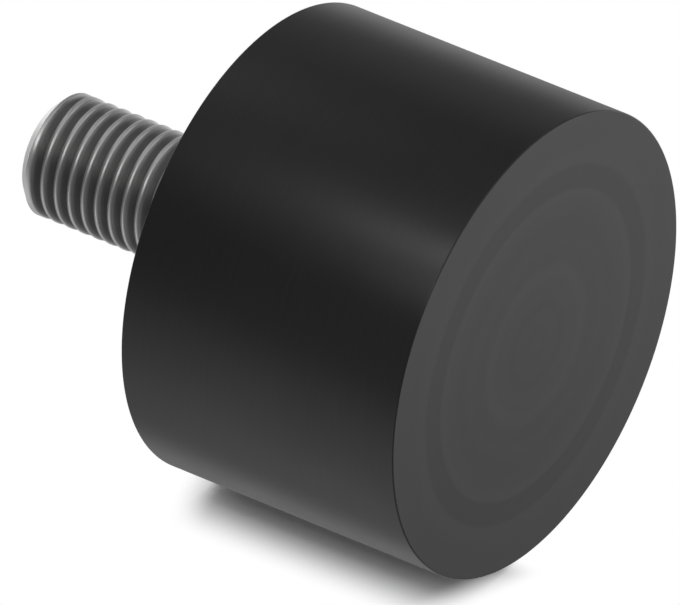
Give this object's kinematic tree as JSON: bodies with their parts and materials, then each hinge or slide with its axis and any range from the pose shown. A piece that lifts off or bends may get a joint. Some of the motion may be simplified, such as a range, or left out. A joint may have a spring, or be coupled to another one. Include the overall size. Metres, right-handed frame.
{
  "type": "bobbin vibration mount",
  "caption": "Cylindrical rubber vibration mount: a threaded steel stud stands from a disc bonded into its seat end, and the other end is a plain rubber face.",
  "frame": {"origin": "centre of the plain rubber face, which the mount stands on", "axes": "+Z along the stud, from the plain rubber face to the stud's tip; X and Y across the round body"},
  "size_m": [0.03, 0.03, 0.0357],
  "materials": {
    "rubber": "satin",
    "plate_steel": "satin",
    "stud_steel": "satin"
  },
  "bodies": {
    "root": {"rubber_body": "rubber", "backing_plate": "plate_steel", "threaded_stud": "stud_steel"}
  },
  "joints": []
}
